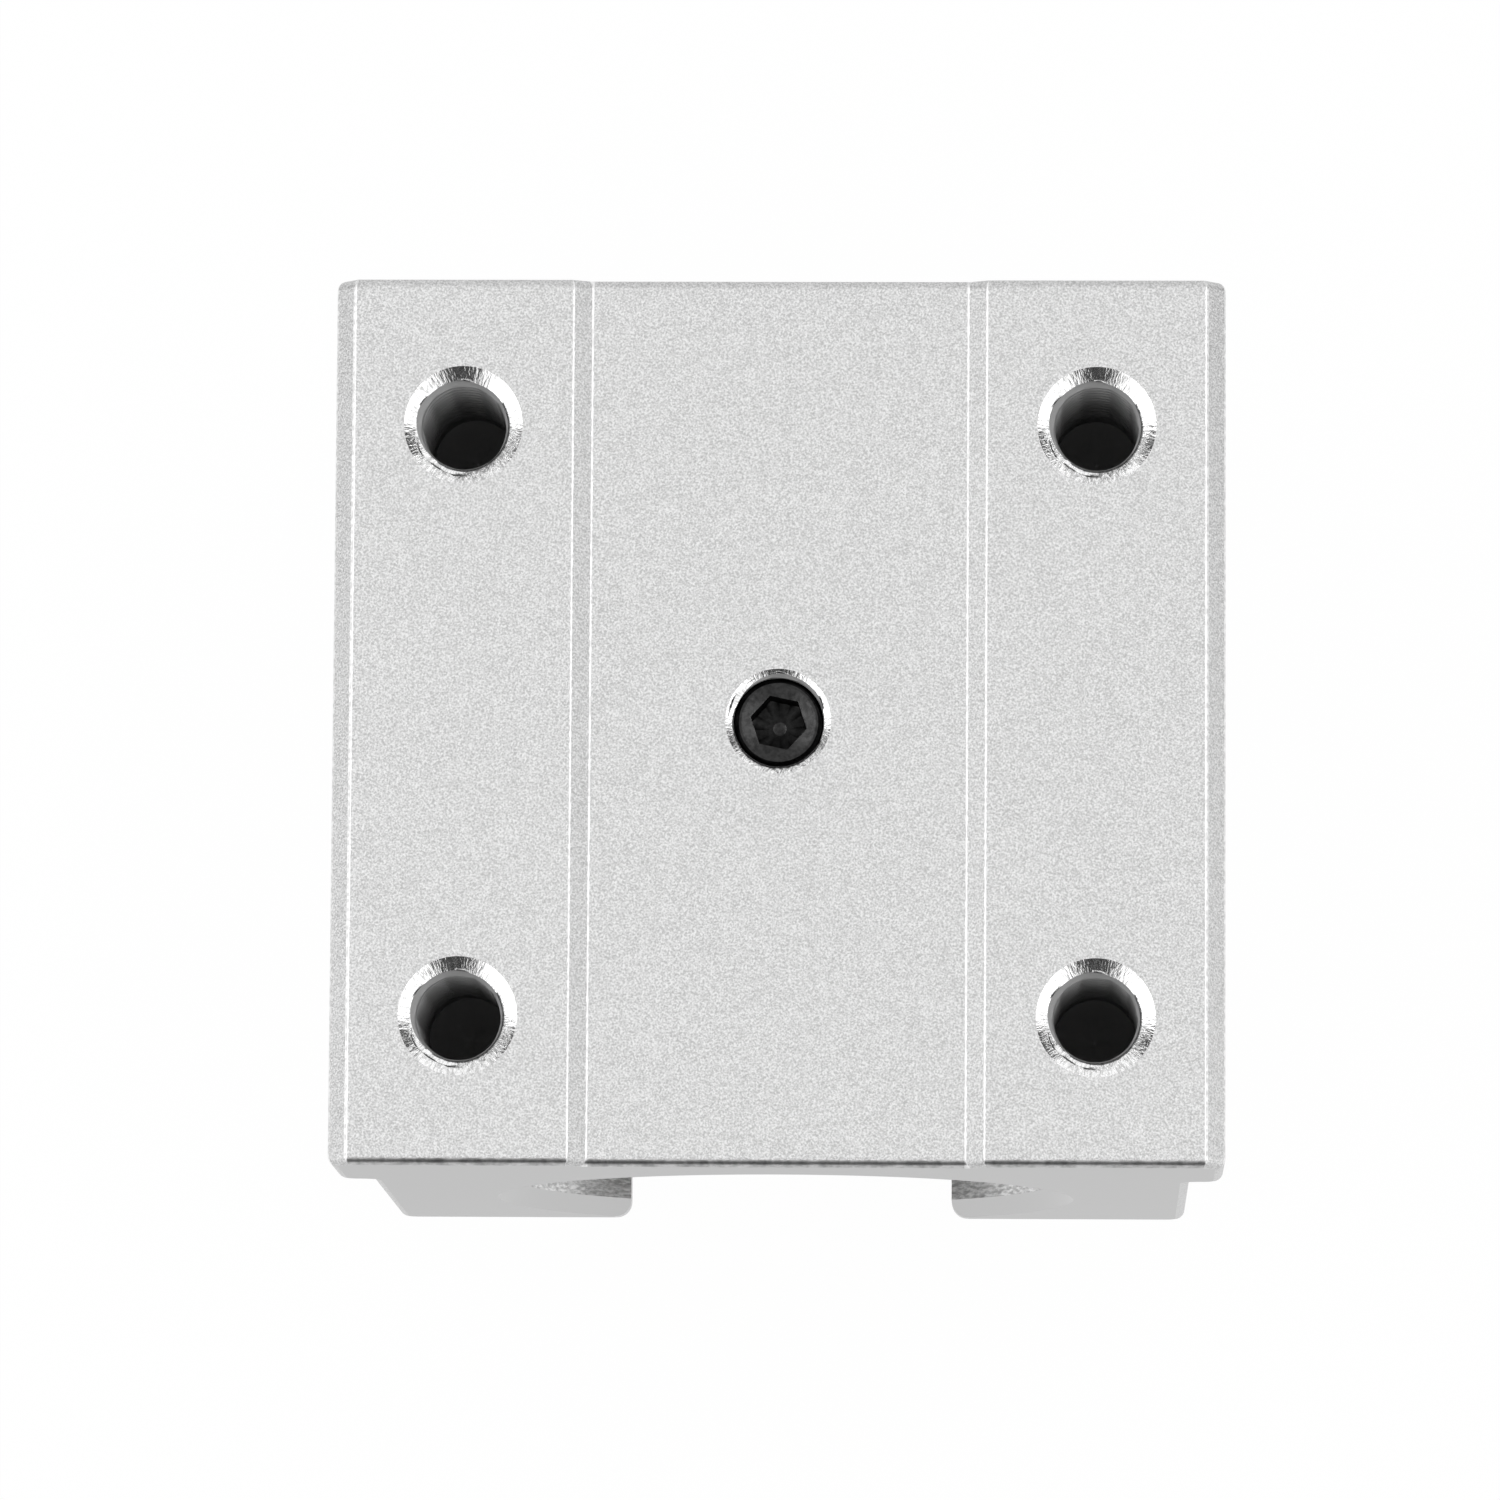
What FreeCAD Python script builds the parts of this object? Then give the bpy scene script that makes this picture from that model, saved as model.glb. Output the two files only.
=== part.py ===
import FreeCAD, Part
import math
import os

# Open linear ball bearing block for a shaft that is carried from below by a support rail.
# Millimetres and degrees. The shaft runs along Y, +Z is up, and the origin lies on the floor
# plane under the middle of the block. Front is -Y. Angles round the shaft start at the top
# and grow towards +X.

# The block, an aluminium extrusion that is bored and drilled
block_width = 45.0
block_height = 33.0
shaft_height = 13.0            # shaft centre above the feet
flange_thickness = 9.0
flange_overhang = 1.65         # how far the flange stands out past each leg
flange_corner_radius = 1.0
flange_root_radius = 0.5
foot_radius = 1.0
foot_inner_radius = 0.3
slot_width = 17.0              # gap between the feet for the support rail
channel_width = 19.0           # flat floor of the shallow channel along the top
channel_depth = 0.5
channel_slope = 0.95           # width of each sloping side of the channel
top_chamfer = 0.95
edge_break = 0.25              # small radius on the edges of the top
mouth_chamfer = 0.9            # at both ends of the bore and of the slot

# Tapped mounting holes in the flange, and the clamping screw in the middle
mount_spacing_x = 32.0
mount_spacing_y = 30.0
mount_drill_diameter = 4.2
mount_depth = 12.0
mount_countersink_diameter = 6.0
set_screw_diameter = 5.0
set_screw_recess = 0.5         # top of the screw below the channel floor
set_screw_chamfer = 0.5
set_screw_countersink_diameter = 5.4
set_screw_point_diameter = 4.6
socket_across_flats = 2.5
socket_depth = 2.2
socket_turn = 48.0
thread_clearance = 0.04

# Open ball bushing
shaft_diameter = 16.0
bushing_thickness = 6.0        # from the shaft to the outside of the bushing
bushing_length = 37.0
bushing_recess = 4.0           # from each end of the block to the bushing
bushing_opening = 80.0         # sector left out at the bottom
bushing_fit = 0.03             # radial gap between bushing and bore

# Ball circuits: a loaded row that runs on the shaft, a return row further out, and half-round turns
ball_diameter = 3.175
ball_spacing = 3.55            # the least, from ball to ball along the circuit
circuit_angles = (36.0, 108.0)  # middle of each circuit, repeated on the other side
row_angle = 28.0               # from the loaded row to the return row
row_setback = 6.5              # from the end of the retainer to the end of both rows
return_lift = 0.75             # turns and return row further out than the loaded row
ramp_length = 3.0              # at each end of the loaded row, where the balls are lifted
ramp_lead = 0.3                # the raceway gives way this much before the ramp
race_clearance = 0.015
race_land_width = 3.0          # flat raceway inside the sleeve over each loaded row
channel_clearance = 0.1        # round each ball in the retainer
turn_sides = 12                # of a full turn in the retainer; the flats lie outside the true circle
return_clearance = 0.2         # outside the returning balls in the sleeve

# Retainer and seals inside the sleeve
retainer_recess = 1.5          # from each end of the sleeve, room for the seal
retainer_shaft_gap = 0.3
retainer_race_gap = 0.12
seal_thickness = 1.2
seal_fit = 0.05                # in the sleeve
seal_retainer_gap = 0.05
seal_shaft_gap = 0.05

# Circlips in the block that hold the bushing
circlip_thickness = 1.2
circlip_groove_depth = 0.7
circlip_groove_play = 0.1
circlip_radial_gap = 0.05
circlip_back_width = 2.4       # radial width at the top
circlip_end_width = 1.5        # radial width beside the lugs
circlip_lug_height = 3.7       # radial
circlip_lug_angle = 127.0      # to the middle of each lug
circlip_lug_span = 18.0        # degrees that each lug covers
circlip_hole_diameter = 2.0

# Worked out from the sizes above
overrun = 1.0                  # how far cutting tools run past a face
shaft_radius = shaft_diameter / 2
bushing_radius = shaft_radius + bushing_thickness
bore_radius = bushing_radius + bushing_fit
bushing_end = bushing_length / 2
block_length = bushing_length + 2 * bushing_recess
block_end = block_length / 2
channel_floor = block_height - channel_depth
ball_radius = ball_diameter / 2
loaded_row_radius = shaft_radius + ball_radius
return_row_radius = loaded_row_radius + return_lift
race_radius = loaded_row_radius + ball_radius + race_clearance
sleeve_inner_radius = return_row_radius + ball_radius + return_clearance
retainer_radius = race_radius - retainer_race_gap
retainer_end = bushing_end - retainer_recess
row_length = 2 * (retainer_end - row_setback)
circlip_groove_radius = bore_radius + circlip_groove_depth
set_screw_hole_radius = set_screw_diameter / 2 + thread_clearance

along_shaft = FreeCAD.Vector(0, 1, 0)
up = FreeCAD.Vector(0, 0, 1)
shaft_centre = FreeCAD.Vector(0, 0, shaft_height)


def outline(corners):
    """Closed face in the XZ plane from (x, z, radius) corners; radius 0 leaves a sharp corner."""
    count = len(corners)
    points = [FreeCAD.Vector(x, 0, z) for x, z, radius in corners]
    pieces = []
    starts = []
    ends = []
    for index, corner in enumerate(corners):
        point = points[index]
        radius = corner[2]
        if radius == 0:
            starts.append(point)
            ends.append(point)
            continue
        back = (points[index - 1] - point).normalize()
        ahead = (points[(index + 1) % count] - point).normalize()
        half_angle = back.getAngle(ahead) / 2
        reach = radius / math.tan(half_angle)
        middle = (back + ahead).normalize() * (radius / math.sin(half_angle) - radius)
        starts.append(point + back * reach)
        ends.append(point + ahead * reach)
        pieces.append(Part.Arc(starts[-1], point + middle, ends[-1]).toShape())
    for index in range(count):
        pieces.append(Part.LineSegment(ends[index], starts[(index + 1) % count]).toShape())
    return Part.Face(Part.Wire(Part.__sortEdges__(pieces)))


def turned_about_shaft(profile):
    """Solid of revolution about the shaft from (radius, y) points."""
    points = [FreeCAD.Vector(0, y, shaft_height + radius) for radius, y in profile]
    face = Part.Face(Part.makePolygon(points + points[:1]))
    return face.revolve(shaft_centre, along_shaft, 360)


def turned_about_vertical(profile, x=0.0, y=0.0):
    """Solid of revolution about a vertical axis at x, y from (radius, z) points."""
    points = [FreeCAD.Vector(x + radius, y, z) for radius, z in profile]
    face = Part.Face(Part.makePolygon(points + points[:1]))
    return face.revolve(FreeCAD.Vector(x, y, 0), up, 360)


def ring_profile(inner, outer, start, end):
    """Rectangular section of a ring, as (radius, y) points."""
    return [(inner, start), (outer, start), (outer, end), (inner, end)]


def mirrored_along_shaft(profile):
    """A profile of (radius, y) points for y < 0, with its mirror image for y > 0 in return order."""
    return profile + [(radius, -y) for radius, y in reversed(profile)]


def round_shaft(angle, radius, y=0.0):
    """Point at an angle from the top and a radius from the shaft's centre line."""
    turn = math.radians(angle)
    return FreeCAD.Vector(radius * math.sin(turn), y, shaft_height + radius * math.cos(turn))


def bottom_sector(opening):
    """Wedge under the shaft that opens every ring of the bushing."""
    reach = block_width
    corners = [
        FreeCAD.Vector(0, -block_length, shaft_height),
        round_shaft(180 - opening / 2, reach, -block_length),
        round_shaft(180 + opening / 2, reach, -block_length),
    ]
    return Part.Face(Part.makePolygon(corners + corners[:1])).extrude(along_shaft * 2 * block_length)


def both_ends(front_piece):
    """A piece made for the front end, and its mirror image for the rear end."""
    rear_piece = front_piece.mirror(FreeCAD.Vector(0, 0, 0), along_shaft)
    return front_piece, rear_piece


def housing_section():
    """Section of the extruded block across the shaft, with the gap between the feet."""
    half_width = block_width / 2
    leg = half_width - flange_overhang
    flange_under = block_height - flange_thickness
    right = [
        (channel_width / 2, channel_floor, edge_break),
        (channel_width / 2 + channel_slope, block_height, edge_break),
        (half_width - top_chamfer, block_height, edge_break),
        (half_width, block_height - top_chamfer, edge_break),
        (half_width, flange_under, flange_corner_radius),
        (leg, flange_under, flange_root_radius),
        (leg, 0, foot_radius),
        (slot_width / 2, 0, foot_inner_radius),
        (slot_width / 2, shaft_height, 0),
    ]
    left = [(-x, z, radius) for x, z, radius in reversed(right)]
    return outline(right + left)


def bore_cutter():
    """The bore with its end chamfers and the two circlip grooves."""
    groove_start = bushing_end
    groove_end = groove_start + circlip_thickness + circlip_groove_play
    front = [
        (0, -block_end - overrun),
        (bore_radius + mouth_chamfer + overrun, -block_end - overrun),
        (bore_radius, -block_end + mouth_chamfer),
        (bore_radius, -groove_end),
        (circlip_groove_radius, -groove_end),
        (circlip_groove_radius, -groove_start),
        (bore_radius, -groove_start),
    ]
    return turned_about_shaft(mirrored_along_shaft(front))


def slot_end_cutter():
    """Rounds the front end of both slot walls, where the support rail enters."""
    wall = slot_width / 2
    start = -block_end
    cutters = []
    for side in (1, -1):
        edge = FreeCAD.Vector(side * (wall + mouth_chamfer), start, -overrun)
        inner = FreeCAD.Vector(side * wall, start + mouth_chamfer, -overrun)
        centre = FreeCAD.Vector(edge.x, inner.y, -overrun)
        middle = centre - FreeCAD.Vector(side, 1, 0).normalize() * mouth_chamfer
        inside = FreeCAD.Vector(side * (wall - overrun), inner.y, -overrun)
        outside = FreeCAD.Vector(inside.x, start - overrun, -overrun)
        beyond = FreeCAD.Vector(edge.x, start - overrun, -overrun)
        edges = [
            Part.Arc(edge, middle, inner).toShape(),
            Part.LineSegment(inner, inside).toShape(),
            Part.LineSegment(inside, outside).toShape(),
            Part.LineSegment(outside, beyond).toShape(),
            Part.LineSegment(beyond, edge).toShape(),
        ]
        face = Part.Face(Part.Wire(edges))
        cutters.append(face.extrude(up * (shaft_height + overrun)))
    return cutters[0].fuse(cutters[1])


def mount_hole(x, y):
    """Blind tapped hole in the flange, at its drill size, with a countersunk mouth."""
    drill = mount_drill_diameter / 2
    mouth = mount_countersink_diameter / 2
    bottom = block_height - mount_depth
    profile = [
        (0, block_height + overrun),
        (mouth + overrun, block_height + overrun),
        (drill, block_height - (mouth - drill)),
        (drill, bottom),
        (0, bottom),
    ]
    return turned_about_vertical(profile, x, y)


def set_screw_hole():
    """Tapped hole from the channel floor into the bore, at the thread's outer size."""
    mouth = set_screw_countersink_diameter / 2
    profile = [
        (0, channel_floor + overrun),
        (mouth + overrun, channel_floor + overrun),
        (set_screw_hole_radius, channel_floor - (mouth - set_screw_hole_radius)),
        (set_screw_hole_radius, shaft_height),
        (0, shaft_height),
    ]
    return turned_about_vertical(profile)


def housing_block():
    block = housing_section().extrude(along_shaft * block_length)
    block.translate(FreeCAD.Vector(0, -block_end, 0))
    cutters = [bore_cutter(), set_screw_hole()]
    cutters.extend(both_ends(slot_end_cutter()))
    for x in (-mount_spacing_x / 2, mount_spacing_x / 2):
        for y in (-mount_spacing_y / 2, mount_spacing_y / 2):
            cutters.append(mount_hole(x, y))
    return block.cut(cutters)


def set_screw():
    """Headless screw with a hexagon socket; its flat point bears on the sleeve."""
    radius = set_screw_diameter / 2
    tip = shaft_height + bushing_radius
    top = channel_floor - set_screw_recess
    point = set_screw_point_diameter / 2
    profile = [
        (0, tip),
        (point, tip),
        (radius, tip + radius - point),
        (radius, top - set_screw_chamfer),
        (radius - set_screw_chamfer, top),
        (0, top),
    ]
    screw = turned_about_vertical(profile)
    corner = socket_across_flats / 2 / math.cos(math.radians(30))
    hexagon = []
    for index in range(6):
        turn = math.radians(socket_turn + 60 * index)
        hexagon.append(FreeCAD.Vector(corner * math.cos(turn), corner * math.sin(turn), top - socket_depth))
    socket = Part.Face(Part.makePolygon(hexagon + hexagon[:1])).extrude(up * (socket_depth + overrun))
    return screw.cut(socket)


def circlip():
    """Internal circlip for the front groove: an eccentric ring with two drilled lugs."""
    outer = circlip_groove_radius - circlip_radial_gap
    inner = outer - (circlip_back_width + circlip_end_width) / 2
    shift = (circlip_back_width - circlip_end_width) / 2
    start = -bushing_end - circlip_groove_play / 2 - circlip_thickness
    base = FreeCAD.Vector(0, start, shaft_height)
    ring = Part.makeCylinder(outer, circlip_thickness, base, along_shaft)
    ring = ring.cut(Part.makeCylinder(inner, circlip_thickness, base - up * shift, along_shaft))
    lug_ring = ring_profile(outer - circlip_lug_height, outer, start, start + circlip_thickness)
    lug_start = circlip_lug_angle - circlip_lug_span / 2
    lug_end = circlip_lug_angle + circlip_lug_span / 2
    lugs = turned_about_shaft(lug_ring).common(bottom_sector(2 * (180 - lug_start)))
    cutters = [bottom_sector(2 * (180 - lug_end))]
    for side in (1, -1):
        centre = round_shaft(side * circlip_lug_angle, outer - circlip_lug_height / 2, start)
        cutters.append(Part.makeCylinder(circlip_hole_diameter / 2, circlip_thickness, centre, along_shaft))
    return ring.fuse(lugs).cut(cutters).removeSplitter()


def bar(start, half_width, run, lift):
    """Straight bar along run; start is the middle of the lower edge of its end."""
    corners = [start - half_width, start + half_width, start + half_width + lift, start - half_width + lift]
    return Part.Face(Part.makePolygon(corners + corners[:1])).extrude(run)


class Circuit:
    """One closed ball circuit: two straight rows and two half-round turns in one plane, except
    that the balls of the loaded row are let down onto the shaft between two ramps."""

    def __init__(self, side, middle_angle):
        self.loaded_angle = side * (middle_angle + row_angle / 2)
        self.loaded = round_shaft(self.loaded_angle, return_row_radius)
        self.returning = round_shaft(side * (middle_angle - row_angle / 2), return_row_radius)
        self.across = self.returning - self.loaded
        self.middle = self.loaded + self.across * 0.5
        self.turn_radius = self.across.Length / 2
        self.outward = (self.middle - shaft_centre).normalize()

    def groove(self):
        """Flat-bottomed groove in the retainer for the whole circuit, open on the outside, with a
        straight rib between the two rows and a faceted turn at each end."""
        radius = ball_radius + channel_clearance
        reach = self.turn_radius + radius
        sideways = (self.across * 1).normalize()
        corner_reach = reach / math.cos(math.pi / turn_sides)
        run = along_shaft * row_length
        lift = self.outward * bushing_radius
        floor = self.middle - self.outward * radius - run * 0.5
        pocket = bar(floor, sideways * reach, run, lift)
        turns = []
        for centre in (floor, floor + run):
            corners = []
            for index in range(turn_sides):
                angle = 2 * math.pi * (index + 0.5) / turn_sides
                direction = sideways * math.cos(angle) + along_shaft * math.sin(angle)
                corners.append(centre + direction * corner_reach)
            turns.append(Part.Face(Part.makePolygon(corners + corners[:1])).extrude(lift))
        rib = bar(floor, sideways * (self.turn_radius - radius), run, lift)
        return pocket.fuse(turns).cut(rib)

    def window(self):
        """Slot under the loaded row; its sloping sides let the balls reach the shaft but not fall out."""
        radius = ball_radius + channel_clearance
        corner = radius * math.tan(math.radians(22.5))
        outward = (self.loaded - shaft_centre).normalize()
        sideways = along_shaft.cross(outward)
        start = round_shaft(self.loaded_angle, loaded_row_radius, -row_length / 2)
        section = [(-radius, radius), (-radius, -corner), (-corner, -radius),
                   (corner, -radius), (radius, -corner), (radius, radius)]
        corners = [start + sideways * aside + outward * out for aside, out in section]
        return Part.Face(Part.makePolygon(corners + corners[:1])).extrude(along_shaft * row_length)

    def race_land(self):
        """Flat raceway that stands proud inside the sleeve, with a ramp at each end."""
        outward = (self.loaded - shaft_centre).normalize()
        sideways = along_shaft.cross(outward)
        root = (sleeve_inner_radius + bushing_radius) / 2
        land_end = row_length / 2 - ramp_length - ramp_lead
        ramp_end = land_end + ramp_length * (root - race_radius) / return_lift
        corner = shaft_centre - sideways * (race_land_width / 2)
        profile = [(root, -ramp_end), (race_radius, -land_end), (race_radius, land_end), (root, ramp_end)]
        corners = [corner + outward * radius + along_shaft * y for radius, y in profile]
        return Part.Face(Part.makePolygon(corners + corners[:1])).extrude(sideways * race_land_width)

    def ball_centre(self, distance):
        """Place on the closed path, measured from the front end of the loaded row."""
        half_path = row_length + math.pi * self.turn_radius
        returning = distance >= half_path
        distance = distance % half_path
        row = self.returning if returning else self.loaded
        heading = -1 if returning else 1
        if distance > row_length:
            angle = (distance - row_length) / self.turn_radius
            from_middle = (row - self.middle) * math.cos(angle)
            ahead = row_length / 2 + self.turn_radius * math.sin(angle)
            return self.middle + from_middle + along_shaft * (heading * ahead)
        y = heading * (distance - row_length / 2)
        if returning:
            return row + along_shaft * y
        lowered = min(1, (row_length / 2 - abs(y)) / ramp_length)
        return round_shaft(self.loaded_angle, return_row_radius - return_lift * lowered, y)

    def balls(self):
        path_length = 2 * (row_length + math.pi * self.turn_radius)
        count = math.floor(path_length / ball_spacing)
        centres = [self.ball_centre(index * path_length / count) for index in range(count)]
        return Part.makeCompound([faceted_ball(centre) for centre in centres])


def faceted_ball(centre):
    """A ball as twenty flat facets with their corners on the true sphere, its poles along the shaft."""
    polar = math.atan(2)
    rings = []
    for side, offset in ((1, 0), (-1, 36)):
        ring = []
        for index in range(5):
            turn = math.radians(offset + 72 * index)
            across = ball_radius * math.sin(polar)
            along = side * ball_radius * math.cos(polar)
            ring.append(centre + FreeCAD.Vector(across * math.cos(turn), along, across * math.sin(turn)))
        rings.append(ring)
    rear, front = rings
    rear_pole = centre + along_shaft * ball_radius
    front_pole = centre - along_shaft * ball_radius
    faces = []
    for index in range(5):
        following = (index + 1) % 5
        faces.append([rear_pole, rear[index], rear[following]])
        faces.append([rear[index], front[index], rear[following]])
        faces.append([rear[following], front[index], front[following]])
        faces.append([front_pole, front[following], front[index]])
    shell = Part.Shell([Part.Face(Part.makePolygon(face + face[:1])) for face in faces])
    return Part.Solid(shell)


def bushing_sleeve(circuits):
    """Hardened outer sleeve with a flat raceway over each loaded row."""
    tube = turned_about_shaft(ring_profile(sleeve_inner_radius, bushing_radius, -bushing_end, bushing_end))
    lands = [circuit.race_land() for circuit in circuits]
    return tube.fuse(lands).cut(bottom_sector(bushing_opening)).removeSplitter()


def ball_retainer(circuits):
    """Moulded cage that guides the balls round their circuits."""
    inner = shaft_radius + retainer_shaft_gap
    cage = turned_about_shaft(ring_profile(inner, retainer_radius, -retainer_end, retainer_end))
    cutters = [bottom_sector(bushing_opening)]
    for circuit in circuits:
        cutters.append(circuit.groove())
        cutters.append(circuit.window())
    return cage.cut(cutters).removeSplitter()


def end_seal():
    """Rubber seal pressed into the front end of the sleeve against the retainer."""
    inner = shaft_radius + seal_shaft_gap
    outer = sleeve_inner_radius - seal_fit
    start = -retainer_end - seal_retainer_gap
    ring = turned_about_shaft(ring_profile(inner, outer, start - seal_thickness, start))
    return ring.cut(bottom_sector(bushing_opening))


def build():
    circuits = {}
    for side, side_name in ((1, "right"), (-1, "left")):
        for middle_angle, height_name in zip(circuit_angles, ("upper", "lower")):
            circuits[f"{height_name}_{side_name}_balls"] = Circuit(side, middle_angle)
    pieces = {
        "housing_block": housing_block(),
        "bushing_set_screw": set_screw(),
        "bushing_sleeve": bushing_sleeve(circuits.values()),
        "ball_retainer": ball_retainer(circuits.values()),
    }
    pieces["front_circlip"], pieces["rear_circlip"] = both_ends(circlip())
    pieces["front_end_seal"], pieces["rear_end_seal"] = both_ends(end_seal())
    for name, circuit in circuits.items():
        pieces[name] = circuit.balls()
    return pieces


os.makedirs("parts", exist_ok=True)
for name, piece in build().items():
    print(name, "solids", len(piece.Solids), "volume", round(piece.Volume, 2), "valid", piece.isValid())
    piece.exportStep(f"parts/{name}.step")
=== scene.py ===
import bpy, bmesh, math
from mathutils import Matrix, Vector


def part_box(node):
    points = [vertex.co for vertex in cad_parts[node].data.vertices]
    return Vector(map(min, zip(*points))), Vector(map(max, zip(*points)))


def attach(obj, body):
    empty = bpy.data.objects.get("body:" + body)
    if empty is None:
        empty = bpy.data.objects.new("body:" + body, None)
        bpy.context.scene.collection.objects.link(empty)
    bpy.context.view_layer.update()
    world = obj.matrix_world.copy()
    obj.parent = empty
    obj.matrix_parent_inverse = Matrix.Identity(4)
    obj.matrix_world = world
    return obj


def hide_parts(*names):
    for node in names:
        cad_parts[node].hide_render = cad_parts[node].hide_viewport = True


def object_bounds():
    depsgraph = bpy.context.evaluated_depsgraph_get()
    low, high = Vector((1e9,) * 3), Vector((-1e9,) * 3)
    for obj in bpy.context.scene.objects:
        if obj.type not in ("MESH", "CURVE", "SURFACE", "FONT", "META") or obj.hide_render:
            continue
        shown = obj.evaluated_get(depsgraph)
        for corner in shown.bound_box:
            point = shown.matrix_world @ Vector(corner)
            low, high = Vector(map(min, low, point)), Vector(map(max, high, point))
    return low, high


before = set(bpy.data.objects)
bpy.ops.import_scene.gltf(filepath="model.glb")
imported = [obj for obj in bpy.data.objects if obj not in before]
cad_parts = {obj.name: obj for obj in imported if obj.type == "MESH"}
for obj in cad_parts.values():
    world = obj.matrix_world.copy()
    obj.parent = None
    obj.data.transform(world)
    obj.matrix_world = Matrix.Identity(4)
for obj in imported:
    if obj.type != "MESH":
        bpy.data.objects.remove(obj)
cadLow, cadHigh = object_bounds()
mm = 0.001
blockEnd = cadHigh.y                      # half of the length along the shaft
blockTop = cadHigh.z
shaftHeight = 13 * mm                     # shaft centre above the feet
print("frame loaded", [round(value / mm, 2) for value in (*cadLow, *cadHigh)])


def linearColour(hexText):
    # sRGB hex to the linear colour that a shader takes
    channels = [int(hexText[start:start + 2], 16) / 255 for start in (1, 3, 5)]
    return [c / 12.92 if c <= 0.04045 else ((c + 0.055) / 1.055) ** 2.4 for c in channels] + [1.0]


def addNode(tree, kind, links=None, **settings):
    # a node with its settings; links gives each input a value or another node's output
    node = tree.nodes.new(kind)
    for name, value in settings.items():
        setattr(node, name, value)
    for socket, value in (links or {}).items():
        if isinstance(value, bpy.types.NodeSocket):
            tree.links.new(value, node.inputs[socket])
        else:
            node.inputs[socket].default_value = value
    return node


def newMaterial(name):
    material = bpy.data.materials.new(name)
    material.use_nodes = True
    material.node_tree.nodes.clear()
    return material, material.node_tree


def meshObject(name, points, faces, materials, faceMaterials=None):
    mesh = bpy.data.meshes.new(name)
    mesh.from_pydata(points, [], faces)
    for material in materials:
        mesh.materials.append(material)
    if faceMaterials:
        mesh.polygons.foreach_set("material_index", faceMaterials)
    item = bpy.data.objects.new(name, mesh)
    bpy.context.scene.collection.objects.link(item)
    return item


# a long lens almost straight above the block
cameraView = {
    "lens": 243.6,                        # mm, on a 36 mm wide sensor
    "tip": 7.24,                          # degrees off straight down, towards the front
    "lean": 1.70,                         # degrees, towards the right
    "turn": 0.37,
    "distance": 510.4,                    # mm, from the middle of the top
    "aside": (-1.41, -1.52),              # mm, how far the aim is off the middle of the top
}


def placeCamera(view):
    data = bpy.data.cameras.new("camera")
    data.lens = view["lens"]
    data.sensor_width = 36
    data.clip_start = 0.01
    data.clip_end = 20
    camera = bpy.data.objects.new("camera", data)
    turning = (Matrix.Rotation(math.radians(-view["tip"]), 3, "X")
               @ Matrix.Rotation(math.radians(-view["lean"]), 3, "Y")
               @ Matrix.Rotation(math.radians(-view["turn"]), 3, "Z")).transposed()
    offset = Vector((*view["aside"], view["distance"])) * mm
    camera.matrix_world = Matrix.Translation(Vector((0, 0, blockTop)) + turning @ offset) @ turning.to_4x4()
    bpy.context.scene.collection.objects.link(camera)
    bpy.context.scene.camera = camera


placeCamera(cameraView)
bpy.context.scene.view_settings.view_transform = "Standard"
print("camera placed")

# white surroundings with softboxes at the sides and dark cards for the metal to reflect
studio = {
    "floorColour": "#F6F6F6",
    "floorHalf": 3.0,                     # m from the block to the floor's edges
    "floorGap": 0.02,                     # mm below the feet
    "floorShare": 0.98,                   # how much of the floor is plain white, the rest takes the shadow
    "worldColour": "#FFFFFF",
    "worldStrength": 0.85,
    "softboxes": (     # azimuth from the back, reach, height, width and depth in m, strength in W per m2 and steradian
        (250, 0.90, 0.15, 1.05, 0.26, 1.05), (112, 0.90, 0.15, 1.05, 0.26, 0.80),
        (270, 0.55, 1.15, 1.30, 0.12, 4.0), (90, 0.55, 1.15, 1.30, 0.12, 4.0),
        (275, 0.80, 0.56, 0.70, 0.40, 0.30),
    ),
    "softboxAim": 0.02,                   # m above the feet, where the softboxes point
    "cardReach": 1.0,                     # m from the block
    "cards": (         # name, azimuth and half width in degrees, bottom and top in m, colour
        ("front_card", 180, 24, 0, 0.95, "#4A4A4A"),
        ("rear_right_card", 60, 14, 0, 0.30, "#333333"), ("rear_left_card", -60, 14, 0, 0.30, "#333333"),
    ),
}


def backgroundRays(tree):
    # 1 for the rays that show the background: camera, glossy and transmission
    path = addNode(tree, "ShaderNodeLightPath")
    first = addNode(tree, "ShaderNodeMath", {0: path.outputs["Is Camera Ray"], 1: path.outputs["Is Glossy Ray"]},
                    operation="MAXIMUM")
    both = addNode(tree, "ShaderNodeMath", {0: first.outputs[0], 1: path.outputs["Is Transmission Ray"]},
                   operation="MAXIMUM")
    return both.outputs[0]


def makeWorld(settings):
    # white where it is seen or mirrored, and a little weaker as light
    world = bpy.data.worlds.new("studio")
    bpy.context.scene.world = world
    world.use_nodes = True
    tree = world.node_tree
    tree.nodes.clear()
    white = linearColour(settings["worldColour"])
    lit = addNode(tree, "ShaderNodeBackground", {"Color": white, "Strength": settings["worldStrength"]})
    seen = addNode(tree, "ShaderNodeBackground", {"Color": white, "Strength": 1.0})
    mixed = addNode(tree, "ShaderNodeMixShader", {0: backgroundRays(tree), 1: lit.outputs[0], 2: seen.outputs[0]})
    addNode(tree, "ShaderNodeOutputWorld", {"Surface": mixed.outputs[0]})


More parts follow.
